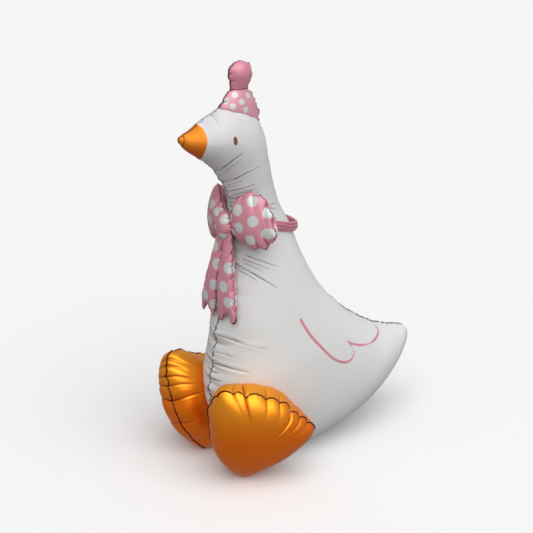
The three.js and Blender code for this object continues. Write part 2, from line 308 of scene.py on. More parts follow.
goose = {
    "rows": 392,  # points from bill to tail
    "cols": 228,  # points round the body
    # upper seam's y, z, lower seam's y, z, half thickness across, fullness
    "rings": [
        [-240, 836, -240, 834, 0, 2], [-236, 845, -234, 823, 11, 2], [-214, 853, -211, 802, 26, 1.9],
        [-187, 866, -182, 783, 41, 1.8], [-154, 884, -161, 767, 52, 1.8], [-104, 894, -145, 750, 58, 1.8],
        [-48, 874, -130, 731, 60, 1.8], [-18, 829, -116, 711, 58, 1.9], [-6, 765, -105, 691, 56, 2],
        [8, 705, -100, 668, 56, 2], [24, 655, -97, 640, 60, 2], [54, 598, -93, 590, 70, 2],
        [86, 520, -108, 496, 90, 2.1], [134, 435, -136, 396, 109, 2.2], [187, 373, -150, 292, 123, 2.3],
        [241, 323, -166, 205, 132, 2.3], [298, 284, -140, 92, 134, 2.2], [348, 257, -62, 6, 128, 2.1],
        [392, 242, 58, -8, 114, 2], [424, 233, 192, 14, 90, 1.9], [441, 229, 322, 77, 60, 1.9],
        [451, 226, 416, 139, 31, 1.9], [463, 206, 463, 192, 0, 2],
    ],
    # gathers of the upper and the lower seam: spacing, depth along the seam, reach
    "upper": {
        "large": (
            42, [(0, 0.3), (45, 0.5), (62, 3.6), (320, 2.6), (520, 1.2), (840, 0.7), (1200, 1.2)], 34,
        ),
        "small": (
            15, [(0, 0.2), (45, 0.4), (60, 3.0), (320, 1.6), (520, 0.6), (840, 0.4), (1200, 0.6)], 12,
        ),
    },
    "lower": {
        "large": (46, [(0, 0.3), (60, 0.6), (110, 3.0), (300, 3.8), (600, 4.6), (1400, 3.6)], 52),
        "small": (17, [(0, 0.2), (60, 0.5), (110, 2.0), (600, 2.6), (1400, 2.0)], 18),
    },
    "edge": 3.4,  # the sealed edge's width
    # single creases on the left side: points in mm, depth, width
    "creases": [
        ([(4, -258, 344), (51, -245, 343), (108, -184, 323)], 4.6, 3.0),
        ([(2, -266, 270), (50, -256, 273), (92, -226, 268)], 4.4, 3.0),
        ([(2, -264, 300), (34, -258, 303), (60, -240, 300)], 2.4, 2.4),
        ([(4, -276, 231), (42, -268, 236)], 3.4, 2.6),
        ([(4, -272, 250), (30, -266, 252)], 2.6, 2.4),
        ([(4, -250, 392), (34, -240, 396)], 2.4, 2.4),
        ([(18, -213, 522), (70, -186, 499), (97, -143, 466)], 3.2, 1.6),
        ([(42, -199, 545), (71, -171, 533), (88, -136, 516)], 2.2, 1.4),
        ([(36, -204, 536), (63, -185, 527), (83, -159, 514)], 1.7, 1.4),
        ([(34, -211, 505), (54, -202, 499), (73, -187, 487)], 1.9, 1.4),
        ([(38, -204, 526), (58, -192, 519), (77, -172, 508)], 1.4, 1.4),
        ([(30, -253, 764), (50, -238, 784), (59, -216, 801)], 3.6, 1.6),
        ([(28, -246, 752), (44, -236, 768), (56, -214, 784)], 1.3, 1.5),
        ([(32, -224, 732), (50, -202, 749), (58, -168, 762)], 3.6, 1.6),
        ([(12, -228, 718), (34, -216, 726), (44, -204, 733)], 1.5, 1.5),
        ([(14, -222, 702), (44, -202, 712), (55, -176, 721)], 2.2, 1.5),
        ([(12, -217, 690), (42, -200, 701), (55, -172, 708)], 1.6, 1.5),
        ([(56, -100, 668), (56, -130, 664), (50, -156, 668)], 2.4, 2.0),
        ([(58, -98, 650), (60, -126, 652), (54, -150, 658)], 2.4, 2.0),
        ([(10, -250, 872), (34, -222, 872)], 2.4, 2.4),
        ([(16, -226, 880), (40, -206, 868)], 2.2, 2.4),
    ],
    "tipCrease": 14,  # how far the crease round the bill's tip lies from the tip
    # where the bill's orange ends: z, y
    "billEdge": [
        (700, -298), (789, -300), (804, -303), (820, -301), (836, -298),
        (850, -297), (861, -298), (866, -303), (872, -306), (900, -306),
    ],
    # the wing line on the left side, from its top to the tail
    "wingLine": [
        (114, -91, 380), (122, -67, 337), (126, -39, 302), (128, -9, 268), (127, 17, 248), (125, 41, 238),
        (120, 62, 238), (115, 75, 250), (112, 71, 264), (111, 54, 287), (109, 76, 273), (102, 109, 259),
        (89, 148, 249), (75, 180, 250), (51, 208, 253), (34, 213, 260), (27, 205, 265),
    ],
    "wingCusp": 9,  # the point of that line where it turns back
    "lineWidth": 9,
    "neckRings": (6, 16),  # the rings from the throat down to the belly
    "bandAt": (-150, 618),  # y and z of the neck's front under the band, where the foil is drawn flat
    "eye": (57, 235.5, 830.5),  # the eye's middle
    "eyeSize": (50, 5.6, 10.3),  # half its size
    "white": (0.635, 0.635, 0.628),
    "paintedNeckShadeWhite": (0.575, 0.565, 0.578),  # painted shade: a slightly darker white from the neck up
    "neckShadeFrom": (620, 90),  # the height where that begins and half the blend
    "orange": (0.78, 0.25, 0.012),
    "paintedShadeOrange": (0.52, 0.075, 0.003),  # painted shade: the orange darker towards the bill's underside
    "paintedShadeFrom": (815, 35),
    "wingPink": (0.56, 0.22, 0.29),
    "eyeBrown": (0.17, 0.065, 0.04),
    "eyeRim": (0.66, 0.63, 0.62),
    "rough": 0.64,
    "metal": 0.05,
    "billMetal": 0.55,
    # the seam's dark line, partly the sealed edge's own colour and partly painted shade, and the painted shade
    # in the creases
    "seamLineAndCreaseShade": (0.13, 0.13, 0.14),
    "billSeamLineAndCreaseShade": (0.10, 0.02, 0.006),
    "seamWidth": 1.3,
    "seamShare": 0.62,  # how much of the seam its dark line covers
    # each set of creases: half the width of its painted shade line and its darkness
    "creaseShadeLook": [("small", 0.8, 0.5), ("large", 1.1, 0.85), ("first", 1.6, 1.25), ("second", 1.5, 1.2)],
    "wrinkles": (0.45, 90),  # their strength and how far they reach from the seam
}


# A point of the goose: an upright oval between the upper and the lower seam, with the half
# thickness across. t runs from the bill to the tail, turn goes round from the upper seam.
def goosePoint(t, turn):
    ring = through(goose["rings"], t)
    power = 2 / ring[..., 5]
    c = signedPower(np.cos(2 * np.pi * turn), power)
    s = signedPower(np.sin(2 * np.pi * turn), power)
    x = np.maximum(ring[..., 4], 0) * s
    y = (ring[..., 0] + ring[..., 2]) / 2 + (ring[..., 0] - ring[..., 2]) / 2 * c + footprint
    z = (ring[..., 1] + ring[..., 3]) / 2 + (ring[..., 1] - ring[..., 3]) / 2 * c
    return np.stack([x, y, z], -1)


# The point of the neck or chest at a height, on the line that runs down it at this turn, found by
# reading the line's own heights.
def gooseAt(turn, height):
    first, last = (k / (len(goose["rings"]) - 1) for k in goose["neckRings"])
    t = np.linspace(first, last, 800)
    line = goosePoint(t, np.full_like(t, turn))
    order = np.argsort(line[:, 2])
    return np.array([np.interp(height, line[order, 2], line[order, k]) for k in range(3)])


# Shares that space the rows of a form evenly along the mean of its top, side and bottom lines.
def evenShares(form, count):
    t = np.linspace(0, 1, 2001)
    lines = [form(t, np.full_like(t, turn)) for turn in (0, 0.25, 0.5)]
    length = sum(np.linalg.norm(np.diff(line, axis=0), axis=1) for line in lines)
    return np.interp(np.linspace(0, 1, count), np.append(0, np.cumsum(length)) / length.sum(), t)


# A grid over a form whose seam runs from pole to pole at turn 0 and 0.5. The rings' points are
# spaced evenly. Also gives, for each point, the way to both halves of the seam and along them.
def seamedGrid(form, rows, cols):
    t = evenShares(form, rows)[:, None]
    fine = np.linspace(0, 1, 4 * cols + 1)[None]
    ring = form(t + 0 * fine, fine + 0 * t)
    length = running(ring, 1)
    half = 2 * cols
    p = np.empty((rows, cols, 3))
    for i in range(rows):
        for first, last, into in ((0, half, slice(0, cols // 2)), (half, 4 * cols, slice(cols // 2, cols))):
            a = length[i, first:last + 1]
            want = np.linspace(a[0], a[-1], cols // 2 + 1)[:-1]
            for k in range(3):
                p[i, into, k] = np.interp(want, a, ring[i, first:last + 1, k])
    closed = np.concatenate([p, p[:, :1]], axis=1)
    along = running(closed, 1)
    fromUpper = np.minimum(along[:, :-1], along[:, -1:] - along[:, :-1])
    fromLower = np.abs(along[:, :-1] - along[:, cols // 2:cols // 2 + 1])
    upper = running(p[:, :1], 0) + 0 * fromUpper
    lower = running(p[:, cols // 2:cols // 2 + 1], 0) + 0 * fromUpper
    return p, fromUpper, fromLower, upper, lower


# The layers that draw the seam itself: the way to its nearer half and the length along that half,
# the lower one counted on from a start of its own.
def seamLayers(fromUpper, fromLower, upper, lower, start):
    nearUpper = fromUpper < fromLower
    return {
        "seamGap": np.minimum(fromUpper, fromLower),
        "seamLength": np.where(nearUpper, upper, lower + start),
    }


# Gathers on both halves of a pole-to-pole seam: the heights add up, and each point takes the crease
# layers of the half that is nearer. They fade where the two halves meet.
def bothSeams(upperLook, lowerLook, fromUpper, fromLower, upper, lower, seed):
    high, creasesUp = seamRelief(upperLook, upper, fromUpper, seed)
    highLow, creasesLow = seamRelief(lowerLook, lower, fromLower, seed + 1)
    meeting = 1 - ease(0.7, 0.98, 2 * np.minimum(fromUpper, fromLower) / (fromUpper + fromLower + 1e-9))
    creases = {key: np.where(fromUpper < fromLower, creasesUp[key], creasesLow[key]) for key in creasesUp}
    for key in ("largeLine", "smallLine"):
        creases[key] = creases[key] * meeting
    return high + highLow, creases


# The goose: its rings, the gathers of both seams, swells, single creases mirrored to both sides, and
# a crease round the bill's tip. Its layers also hold the way to the bill's edge and to the wing line.
def makeGoose():
    smooth, *seams = seamedGrid(goosePoint, goose["rows"], goose["cols"])
    n = normalsOf(smooth)
    mirrored = np.concatenate([np.abs(smooth[..., :1]), smooth[..., 1:]], -1)
    height, creases = bothSeams(goose["upper"], goose["lower"], *seams, 21)
    height = height + 0.8 * swells(smooth, 170, 5)
    for key, lines in (("first", goose["creases"][::2]), ("second", goose["creases"][1::2])):
        rise, creases[key + "Way"], creases[key + "Line"] = creaseLines(mirrored, n, lines)
        height = height + rise
    tip = np.linalg.norm(smooth - smooth[0, 0], axis=2)
    off = tip - goose["tipCrease"]
    height = height + 1.8 * np.exp(-((tip / 8) ** 2)) - 2.2 * np.exp(-((off / 4) ** 2))
    # the crease round the tip also gets a line of painted shade
    around = off < 8
    creases["firstWay"] = np.where(around, off, creases["firstWay"])
    creases["firstLine"] = np.where(around, 0.5 * (1 - ease(3, 7, np.abs(off))), creases["firstLine"])
    bandY, bandZ = goose["bandAt"]
    beside = np.abs(smooth[..., 1] - bandY) < 90
    nearBand = 1 - 0.8 * np.exp(-(((smooth[..., 2] - bandZ) / 24) ** 2)) * beside
    p = smooth + n * (height * nearBand)[..., None]
    bill = np.interp(smooth[..., 2], *zip(*goose["billEdge"])) - smooth[..., 1]
    line, cusp = goose["wingLine"], goose["wingCusp"]
    parts = [through(part, np.linspace(0, 1, 50)) for part in (line[:cusp + 1], line[cusp:])]
    layers = {
        **seamLayers(*seams, 3000),
        "bill": bill,
        "wing": np.minimum(*(distanceTo(mirrored, part) for part in parts)),
        **creases,
    }
    # the seam's dark line, partly painted shade, is drawn wider on the bill
    layers["seamGap"] = layers["seamGap"] * (1 - 0.5 * ease(-2, 4, bill))
    for key in ("largeLine", "smallLine"):
        layers[key] = layers[key] * nearBand
    p, layers = sealBoth(p, n, goose["edge"], layers)
    p[..., 2] = np.maximum(p[..., 2], 0.005 * p[..., 2])
    return foilMesh("goose_foil", p, layers)


# A cushion of two panels over a closed outline: rows run from the middle of one panel over the
# seam to the middle of the other, columns go round. A corner that lies far out is thinner. shift
# gives for each column how far the seam lies on the first panel's side of the rim.
def cushionGrid(outline, thickness, rows, cols, shift=None):
    outline = np.asarray(outline, float)
    middle = outline.mean(0)
    usual = np.linalg.norm(outline - middle, axis=1).mean()
    fine = through(outline, np.linspace(0, 1, 1201)[:-1], closed=True)
    steps = np.diff(np.vstack([fine, fine[:1]]), axis=0)
    length = np.append(0, np.cumsum(np.linalg.norm(steps, axis=1)))
    share = np.interp(np.arange(cols) / cols * length[-1], length, np.linspace(0, 1, 1201))
    edge = through(outline, share, closed=True) - middle
    size = np.linalg.norm(edge, axis=1)[None]
    sweep = np.pi * np.linspace(0, 1, 4 * rows)[:, None]
    blunt = np.minimum(1.4, 0.8 * (size / usual) ** 1.6)
    rise = signedPower(np.cos(sweep), blunt) * thickness / 2
    flat = middle + edge[None] * (np.sin(sweep) ** 0.9)[..., None]
    grid = np.stack([flat[..., 0], flat[..., 1], rise], -1)
    run = running(grid, 0)
    out = np.empty((rows, cols, 3))
    seam = rows // 2
    shift = np.zeros(cols) if shift is None else shift
    for j in range(cols):
        middleRun = run[-1, j] / 2 - shift[j]
        before = np.linspace(0, middleRun, seam + 1)
        want = np.append(before, np.linspace(middleRun, run[-1, j], rows - seam)[1:])
        for k in range(3):
            out[:, j, k] = np.interp(want, run[:, j], grid[:, j, k])
    d = np.abs(running(out, 0) - running(out, 0)[seam:seam + 1])
    s = length[-1] * np.arange(cols)[None] / cols + 0 * d
    return out, s, d, length[-1]


foot = {
    "rows": 161,
    "cols": 420,
    # seen from its sole: forwards is -x, up is +y, from the foot's middle
    "outline": [
        (-80, 134), (-120, 104), (-128, 34), (-111, -64), (-45, -141),
        (10, -114), (88, -60), (127, -8), (86, 50), (34, 103),
    ],
    "middle": (131, -222.5, 134),
    "splay": 27,
    "lean": 16,
    "thickness": 138,
    "gathers": {"large": (46, 6.5, 38), "small": (16, 1.0, 9)},
    "leftSwell": 0.78,
    "rightSwell": 0.7,
    "leftTrim": 7,  # how much less the left foot reaches forwards
    "scallop": 9,  # how far the seam dips at a gather
    "edge": 4.2,
    # known gathers: a point on the seam in mm, and the strength
    "leftGathers": [
        ((96, -320, 256), 0.3), ((128, -298, 260), 0.55), ((151, -279, 250), 1.15), ((166, -229, 240), 0.75),
        ((171, -198, 227), 0.5), ((208, -183, 191), 1.2), ((197, -150, 172), 0.7), ((195, -128, 150), 0.5),
    ],
    "rightGathers": [
        ((102, -319, 255), 0.9), ((120, -333, 248), 0.7), ((113, -341, 238), 0.8), ((103, -344, 215), 1.0),
        ((92, -346, 191), 0.9), ((85, -338, 152), 1.3), ((54, -311, 100), 0.9),
    ],
    # how far the seam lies before the rim: the way round, from the top of the toe side, and mm
    "leftShift": [
        (0, 12), (0.05, 7), (0.1, -5), (0.15, -12), (0.6, -12),
        (0.66, 0), (0.7, 2), (0.76, 9), (0.85, 15), (0.93, 14),
    ],
    "rightShift": [(0.0, -3), (0.3, -3), (0.6, 0), (0.9, 0)],
    "dent": ((-138, -205, 250), 64, 26),  # the slack top of the right foot: middle, reach, depth
    "orange": (0.93, 0.34, 0.016),
    "paintedShadeOrange": (0.95, 0.19, 0.003),
    "rough": 0.42,
    "metal": 0.78,
    "paintedShadeFrom": (185, 70),  # the height below which the orange is darkened by painted shade, and half the blend
    # the seam's dark line, partly the sealed edge's own colour and partly painted shade, and the painted shade
    # in the creases
    "seamLineAndCreaseShade": (0.075, 0.012, 0.003),
    "seamWidth": 2.3,
    "seamShare": 0.8,
    "creaseShadeLook": [("small", 0.8, 0.4), ("large", 1.3, 1.0)],
    "wrinkles": (0.32, 70),
}


# Where a foot's seam lies before the rim at each column: a slow change round the foot, and a dip on
# to the sole's panel at every large gather, which leaves scallops between them.
def footShift(side, s, total, seed, spots):
    spacing = foot["gathers"]["large"][0]
    cuts = gathersAlong(total, spacing, np.random.default_rng(seed + 5), [row[0] for row in spots])
    power = gatherPower(cuts, seed + 5, spots)
    place = np.interp(s, cuts, np.arange(len(cuts)))
    cell = np.minimum(place.astype(int), len(cuts) - 2)
    f = place - cell
    dip = power[cell] * (1 - f) ** 4 + power[cell + 1] * f ** 4 - 0.6 * f * (1 - f)
    slow = np.interp(s / total, *zip(*foot["leftShift" if side > 0 else "rightShift"]), period=1)
    return slow + foot["scallop"] * dip


# A foot: a cushion set up on its edge, splayed and leaning back, with its seam on the shifted line,
# known gathers where the seam passes nearest to their points, and a fine weave of the seam.
def makeFoot(name, side, seed, gathers):
    splay, lean = math.radians(foot["splay"]), math.radians(foot["lean"])
    along = np.array([math.sin(splay), math.cos(splay), 0])
    out = np.array([math.cos(splay), -math.sin(splay), 0])
    up = np.array([0, 0, math.cos(lean)]) + out * math.sin(lean)
    sole = np.array([0, 0, -math.sin(lean)]) + out * math.cos(lean)
    seam = foot["rows"] // 2

    def placed(q):
        return np.array(foot["middle"]) + q[..., :1] * along + q[..., 1:2] * up + q[..., 2:] * sole

    outline = [(x + foot["leftTrim"] * (side > 0) * (x < -100), y) for x, y in foot["outline"]]
    flat, s, _, total = cushionGrid(outline, foot["thickness"], foot["rows"], foot["cols"])
    rim = placed(flat[seam])
    columns = [np.argmin(np.linalg.norm(rim - np.array(place), axis=1)) for place, _ in gathers]
    start = min(columns, key=lambda j: min(j, foot["cols"] - j))
    s = np.roll(s, start, axis=1)  # the seam's length starts at a known gather
    spots = [(s[0, j], known) for j, (_, known) in zip(columns, gathers)]
    shift = footShift(side, s[0], total, seed, spots)
    p, _, d, _ = cushionGrid(outline, foot["thickness"], foot["rows"], foot["cols"], shift)
    p = placed(p)
    n = normalsOf(p)
    height, creases = seamRelief(foot["gathers"], s, d, seed, spots, total)
    height = height * foot["leftSwell" if side > 0 else "rightSwell"]
    calm = 0.35 + 0.65 * ease(40, 170, p[..., 2])
    if side > 0:
        calm = calm * (0.3 + 0.7 * ease(-352, -300, p[..., 1]))
    around = 2 * np.pi * s / total
    weave = 0.7 * np.sin(19 * around + 2 * np.sin(3 * around)) * np.exp(-((d / 14) ** 2))
    layers = {"seamGap": d, "seamLength": s, **creases}
    for key in ("largeLine", "smallLine"):
        layers[key] = layers[key] * calm
    p = p + n * (height * calm + 1.2 * swells(p, 130, seed))[..., None] + sole * weave[..., None]
    p, layers = sealedEdge(p, n, 0, seam, foot["edge"], layers)
    p[..., 0] *= side
    if side < 0:
        middle, wide, deep = foot["dent"]
        p[..., 2] -= deep * np.exp(-((np.linalg.norm(p - np.array(middle), axis=2) / wide) ** 2))
    p[..., 2] = np.maximum(p[..., 2], 0.005 * p[..., 2])
    return laidAgainst(foilMesh(name, p, layers), [gooseFoil], "x", side)


hat = {
    "rows": 260,
    "cols": 132,
    # y of the middle, z, half width, half thickness
    "rings": [
        [-74, 842, 0, 0], [-74, 856, 44, 15], [-76, 877, 51, 25], [-78, 898, 46, 25], [-80, 917, 37, 20],
        [-77, 936, 22, 14], [-74, 950, 26, 18], [-74, 970, 30, 22], [-74, 989, 22, 16], [-74, 1000, 0, 0],
    ],
    "brimSlope": 0.39,
    "brimLevel": 905,
    "gathers": {"large": (18, 2.5, 9), "small": (8, 1.2, 5)},
    "edge": 5.4,
    "pinch": 936,  # height of the pinch between the cone and the pompom
    # dots on both sides: y, z
    "dots": [(-208, 925), (-173, 920), (-228, 912), (-195, 909), (-217, 901), (-186, 890)],
    "dotSize": 7.4,
    "pompomFrom": 933,
    "pink": (0.64, 0.29, 0.35),
    "dusky": (0.60, 0.23, 0.30),
    "dotWhite": (0.60, 0.59, 0.58),
    "rough": 0.40,
    "metal": 0.16,
    # the seam's dark line, partly the sealed edge's own colour and partly painted shade, and the painted shade
    # in the creases
    "seamLineAndCreaseShade": (0.13, 0.03, 0.045),
    "seamWidth": 2.6,
    "seamShare": 0.8,
    "creaseShadeLook": [("small", 0.6, 0.4), ("large", 0.8, 0.7)],
    "wrinkles": (0.4, 40),
}


# A point of the hat: rings from the brim up to the top of the pompom; the brim falls to the back.
def hatPoint(t, turn):
    ring = through(hat["rings"], t)
    c, s = np.cos(2 * np.pi * turn), np.sin(2 * np.pi * turn)
    half, thick = np.maximum(ring[..., 2], 0), np.maximum(ring[..., 3], 0)
    fall = hat["brimSlope"] * half * c * np.clip((hat["brimLevel"] - ring[..., 1]) / 30, 0, 1)
    return np.stack([thick * s, ring[..., 0] - half * c + footprint, ring[..., 1] + fall], -1)


# Printed dots: the distance to the nearest dot's middle, less the dot's size. A dot is given in the
# plane of two of the axes and lies on the surface of each panel; panels are masks of the grid.
def printedDots(p, dots, size, panels, plane=(0, 2)):
    gap = np.full(p.shape[:2], 30.0)
    for panel in panels:
        flat = p[..., list(plane)]
        for dot in dots:
            apart = np.where(panel, np.linalg.norm(flat - np.array(dot, float), axis=-1), 1e6)
            middle = p[np.unravel_index(np.argmin(apart), apart.shape)]
            reach = np.linalg.norm(p - middle, axis=-1) - size
            gap = np.where(panel, np.minimum(gap, reach), gap)
    return gap


# The hat: its rings, the gathers of both seams, and a painted shade line round the pinch under the pompom.
def makeHat():
    p, *seams = seamedGrid(hatPoint, hat["rows"], hat["cols"])
    n = normalsOf(p)
    height, creases = bothSeams(hat["gathers"], hat["gathers"], *seams, 41)
    layers = {
        **seamLayers(*seams, 900),
        **creases,
        "dots": printedDots(p, hat["dots"], hat["dotSize"], (p[..., 0] >= 0, p[..., 0] < 0), (1, 2)),
    }
    # painted shade: a dark line in the pinch under the pompom
    off = p[..., 2] - hat["pinch"]
    around = np.abs(off) < 6
    layers["largeWay"] = np.where(around, 0.6 * off, layers["largeWay"])
    layers["largeLine"] = np.where(around, 1.3 * (1 - ease(2, 5, np.abs(off))), layers["largeLine"])
    inside = ease(0, 12, hat["rings"][-1][1] - p[..., 2])
    p = p + n * (height * inside)[..., None]
    p, layers = sealBoth(p, n, hat["edge"], layers)
    p[..., 2] = np.minimum(p[..., 2], hat["rings"][-1][1])
    return laidAgainst(foilMesh("hat_foil", p, layers), [gooseFoil], "z", 1)


bow = {
    "height": 613,
    "tilt": 6,
    "lean": 0.2,
    "rightLess": 0.09,
    "leftLess": 0.08,
    "rise": 15,
    "rows": 420,
    "cols": 200,
    # x, y behind the front of the neck, half height, half thickness, from the waist out
    "loopRings": [
        [0, -10, 15, 9], [22, -13, 24, 13], [46, -9, 46, 22], [70, 1, 63, 27],
        [92, 11, 65, 27], [110, 19, 50, 20], [121, 23, 23, 10], [124, 24, 0, 0],
    ],
    "gathers": {"large": (46, 9.0, 26), "small": (14, 1.8, 8)},
    "edge": 3.2,
    # dots of a loop: x out from the knot, height over the floor
    "dots": [
        (58, 660), (87, 681), (99, 636), (119, 655), (64, 617), (92, 588), (123, 606), (34, 598), (30, 640),
    ],
    "dotSize": 13.5,
    "knotDots": [(14, 635), (-18, 612), (10, 590)],
    "knotDotSize": 12,
    "knotEdge": 2.6,
    "tailEdge": 2.8,
    # dots of the tails: x out from the middle, height over the floor
    "leftTailDots": [(37, 521), (31, 475), (47, 440)],
    "rightTailDots": [(-7, 521), (-10, 469), (-40, 434), (-9, 418), (-24, 560)],
    "knotWidth": 50,
    "knotHeight": 67,
    "knotDepth": 44,
    "knotOff": 25,
    "knotRows": 150,
    "knotCols": 160,
    "tailOutline": [
        (5, -17), (24, -17), (33, -68), (46, -138), (61, -190), (59, -220), (38, -199),
        (17, -224), (8, -190), (4, -133), (4, -68),
    ],
    "tailThickness": 28,
    "tailTopOff": 28,
    "tailFootOff": 9,
    "tailRows": 101,
    "tailCols": 360,
    "tailGathers": {"large": (30, 2.6, 16), "small": (10, 0.8, 6)},
    "knotGathers": {"large": (22, 3.4, 15), "small": (9, 1.2, 6)},
    "pink": (0.60, 0.235, 0.30),
    "dotWhite": (0.56, 0.57, 0.57),
    "rough": 0.40,
    "metal": 0.16,
    # the seam's dark line, partly the sealed edge's own colour and partly painted shade, and the painted shade
    # in the creases
    "seamLineAndCreaseShade": (0.13, 0.03, 0.045),
    "seamWidth": 1.0,
    "seamShare": 0.66,
    "creaseShadeLook": [("small", 0.6, 0.4), ("large", 0.8, 0.7)],
    "wrinkles": (0.4, 40),
}
bowFront = gooseAt(0.5, bow["height"])[1]


# A point of the two loops before they are tilted: ovals strung from one end over the waist to the
# other, the height growing to the outside and the loop leaning.
def loopPoint(t, turn):
    rings = bow["loopRings"]
    both = [[-r[0], *r[1:]] for r in rings[:0:-1]] + rings
    ring = through(both, t)
    c, s = np.cos(2 * np.pi * turn), np.sin(2 * np.pi * turn)
    x, side = ring[..., 0], np.sign(ring[..., 0])
    high, back = np.maximum(ring[..., 2], 0) * c, np.maximum(ring[..., 3], 0) * s
    z = bow["rise"] * np.minimum(1, np.abs(x) / 60) + high
    out = x - bow["lean"] * high * side * np.minimum(1, np.abs(x) / 60)
    out = out + 0.15 * back * side * np.minimum(1, np.abs(x) / 30)
    return np.stack([out, bowFront + ring[..., 1] - back, bow["height"] + z], -1)


# The whole bow is set askew. Its right loop is a little smaller, and so is the left one's lower half.
def tiltBow(p):
    middle = bow["height"] + bow["rise"]
    small = ease(10, 60, -p[..., 0]) * bow["rightLess"]
    small = small + ease(10, 60, p[..., 0]) * ease(-30, 30, middle - p[..., 2]) * bow["leftLess"]
    p = np.stack([p[..., 0] * (1 - 0.4 * small), p[..., 1], middle + (p[..., 2] - middle) * (1 - small)], -1)
    c, s = math.cos(math.radians(bow["tilt"])), math.sin(math.radians(bow["tilt"]))
    x, z = p[..., 0], p[..., 2] - bow["height"]
    return np.stack([x * c - z * s, p[..., 1], bow["height"] + x * s + z * c], -1)


# The loops: the gathers of both seams, calmer at the waist, folds that fan out from the knot, and
# dots on the front and back of each loop.
def makeLoops():
    p, *seams = seamedGrid(loopPoint, bow["rows"], bow["cols"])
    n = normalsOf(p)
    reach = np.abs(p[..., 0])
    height, creases = bothSeams(bow["gathers"], bow["gathers"], *seams, 61)
    height = height * (0.3 + 0.7 * ease(14, 40, reach))
    fan = np.arctan2(p[..., 2] - bow["height"] - 4, reach - 16)
    height += 1.7 * np.sin(9 * fan + 0.6) * ease(12, 22, reach) * (1 - ease(34, 66, reach))
    front = (np.arange(bow["cols"]) < bow["cols"] // 2)[None]
    panels = [side & half for side in (front, ~front) for half in (p[..., 0] >= 0, p[..., 0] < 0)]
    unfolded = np.concatenate([reach[..., None], p[..., 1:]], -1)
    layers = {
        **seamLayers(*seams, 900),
        **creases,
        "dots": printedDots(unfolded, bow["dots"], bow["dotSize"], panels),
    }
    p = p + n * height[..., None]
    p, layers = sealBoth(p, n, bow["edge"], layers)
    return laidAgainst(foilMesh("loops_foil", tiltBow(p), layers), [gooseFoil, bandFoil], "y", -1)


# A point of the knot: rings from its top to its foot, with the seam down both sides.
def knotPoint(t, turn):
    sweep = np.pi * t
    power = 2 / 2.3
    c = signedPower(np.cos(2 * np.pi * turn), power)
    s = signedPower(np.sin(2 * np.pi * turn), power)
    size = np.sin(sweep) ** 0.85
    x = bow["knotWidth"] / 2 * size * c
    y = bowFront - bow["knotOff"] + bow["knotDepth"] / 2 * size * s
    return np.stack([x, y, bow["height"] + bow["knotHeight"] / 2 * np.cos(sweep)], -1)


# The knot: an upright puffed oval with the gathers of both seams, and dots on its front and back.
def makeKnot():
    p, *seams = seamedGrid(knotPoint, bow["knotRows"], bow["knotCols"])
    n = normalsOf(p)
    height, creases = bothSeams(bow["knotGathers"], bow["knotGathers"], *seams, 81)
    panels = (p[..., 1] < bowFront - bow["knotOff"], p[..., 1] > bowFront)
    layers = {
        **seamLayers(*seams, 300),
        **creases,
        "dots": printedDots(p, bow["knotDots"], bow["knotDotSize"], panels),
    }
    p = p + n * height[..., None]
    p, layers = sealBoth(p, n, bow["knotEdge"], layers)
    return laidAgainst(foilMesh("knot_foil", p, layers), [bandFoil, loopsFoil], "y", -1)


# A tail: a cushion over the forked outline that hangs along the chest, turned a little about its
# upright line, with a wavy seam.
def makeTail(name, side, seed, turn, dots):
    p, s, d, total = cushionGrid(
        bow["tailOutline"], bow["tailThickness"], bow["tailRows"], bow["tailCols"])
    topZ, footZ = (bow["height"] + bow["tailOutline"][k][1] for k in (0, 7))
    topY = gooseAt(0.5, topZ)[1] - bow["tailTopOff"]
    footY = gooseAt(0.5, footZ)[1] - bow["tailFootOff"]
    z = bow["height"] + p[..., 1]
    hang = topY + (footY - topY) * (topZ - z) / (topZ - footZ)
    c, s1 = math.cos(math.radians(turn)), math.sin(math.radians(turn))
    x = 12 + (p[..., 0] - 12) * c - p[..., 2] * s1
    y = hang + (p[..., 0] - 12) * s1 + p[..., 2] * c
    p = np.stack([x, y, z], -1)
    n = normalsOf(p)
    height, creases = seamRelief(bow["tailGathers"], s, d, seed, (), total)
    rows = np.arange(len(p))[:, None] + 0 * d
    panels = (rows < len(p) // 2, rows >= len(p) // 2)
    dots = [(x * side, z) for x, z in dots]
    spots = printedDots(p, dots, bow["dotSize"], panels)
    layers = {"seamGap": d, "seamLength": s, "dots": spots, **creases}
    p = p + n * height[..., None]
    p[..., 1] += 1.2 * np.sin(2 * np.pi * 23 * s / total) * np.exp(-((d / 8) ** 2))
    p, layers = sealedEdge(p, n, 0, bow["tailRows"] // 2, bow["tailEdge"], layers)
    p[..., 0] = np.maximum(p[..., 0], 0.4) * side
    tail = laidAgainst(foilMesh(name, p, layers), [gooseFoil, loopsFoil], "y", -1)
    return laidAgainst(tail, [knotFoil], "z", -1)


band = {
    "height": 23,
    "thickness": 7,
    "rise": 15,
    "fall": 38,
    "slack": 12,
    "clearance": 1,
    "steps": 360,
    "section": 48,
    "pink": (0.60, 0.22, 0.29),
    "rough": 0.33,
    "metal": 0.3,
    # the seam's dark line, partly the sealed edge's own colour and partly painted shade, and the painted shade
    # in the creases
    "seamLineAndCreaseShade": (0.13, 0.03, 0.045),
    "seamWidth": 0.6,
    "seamShare": 0.6,
    "creaseShadeLook": [("small", 0.6, 0.4), ("large", 0.8, 0.7)],
    "wrinkles": (0.4, 40),
}
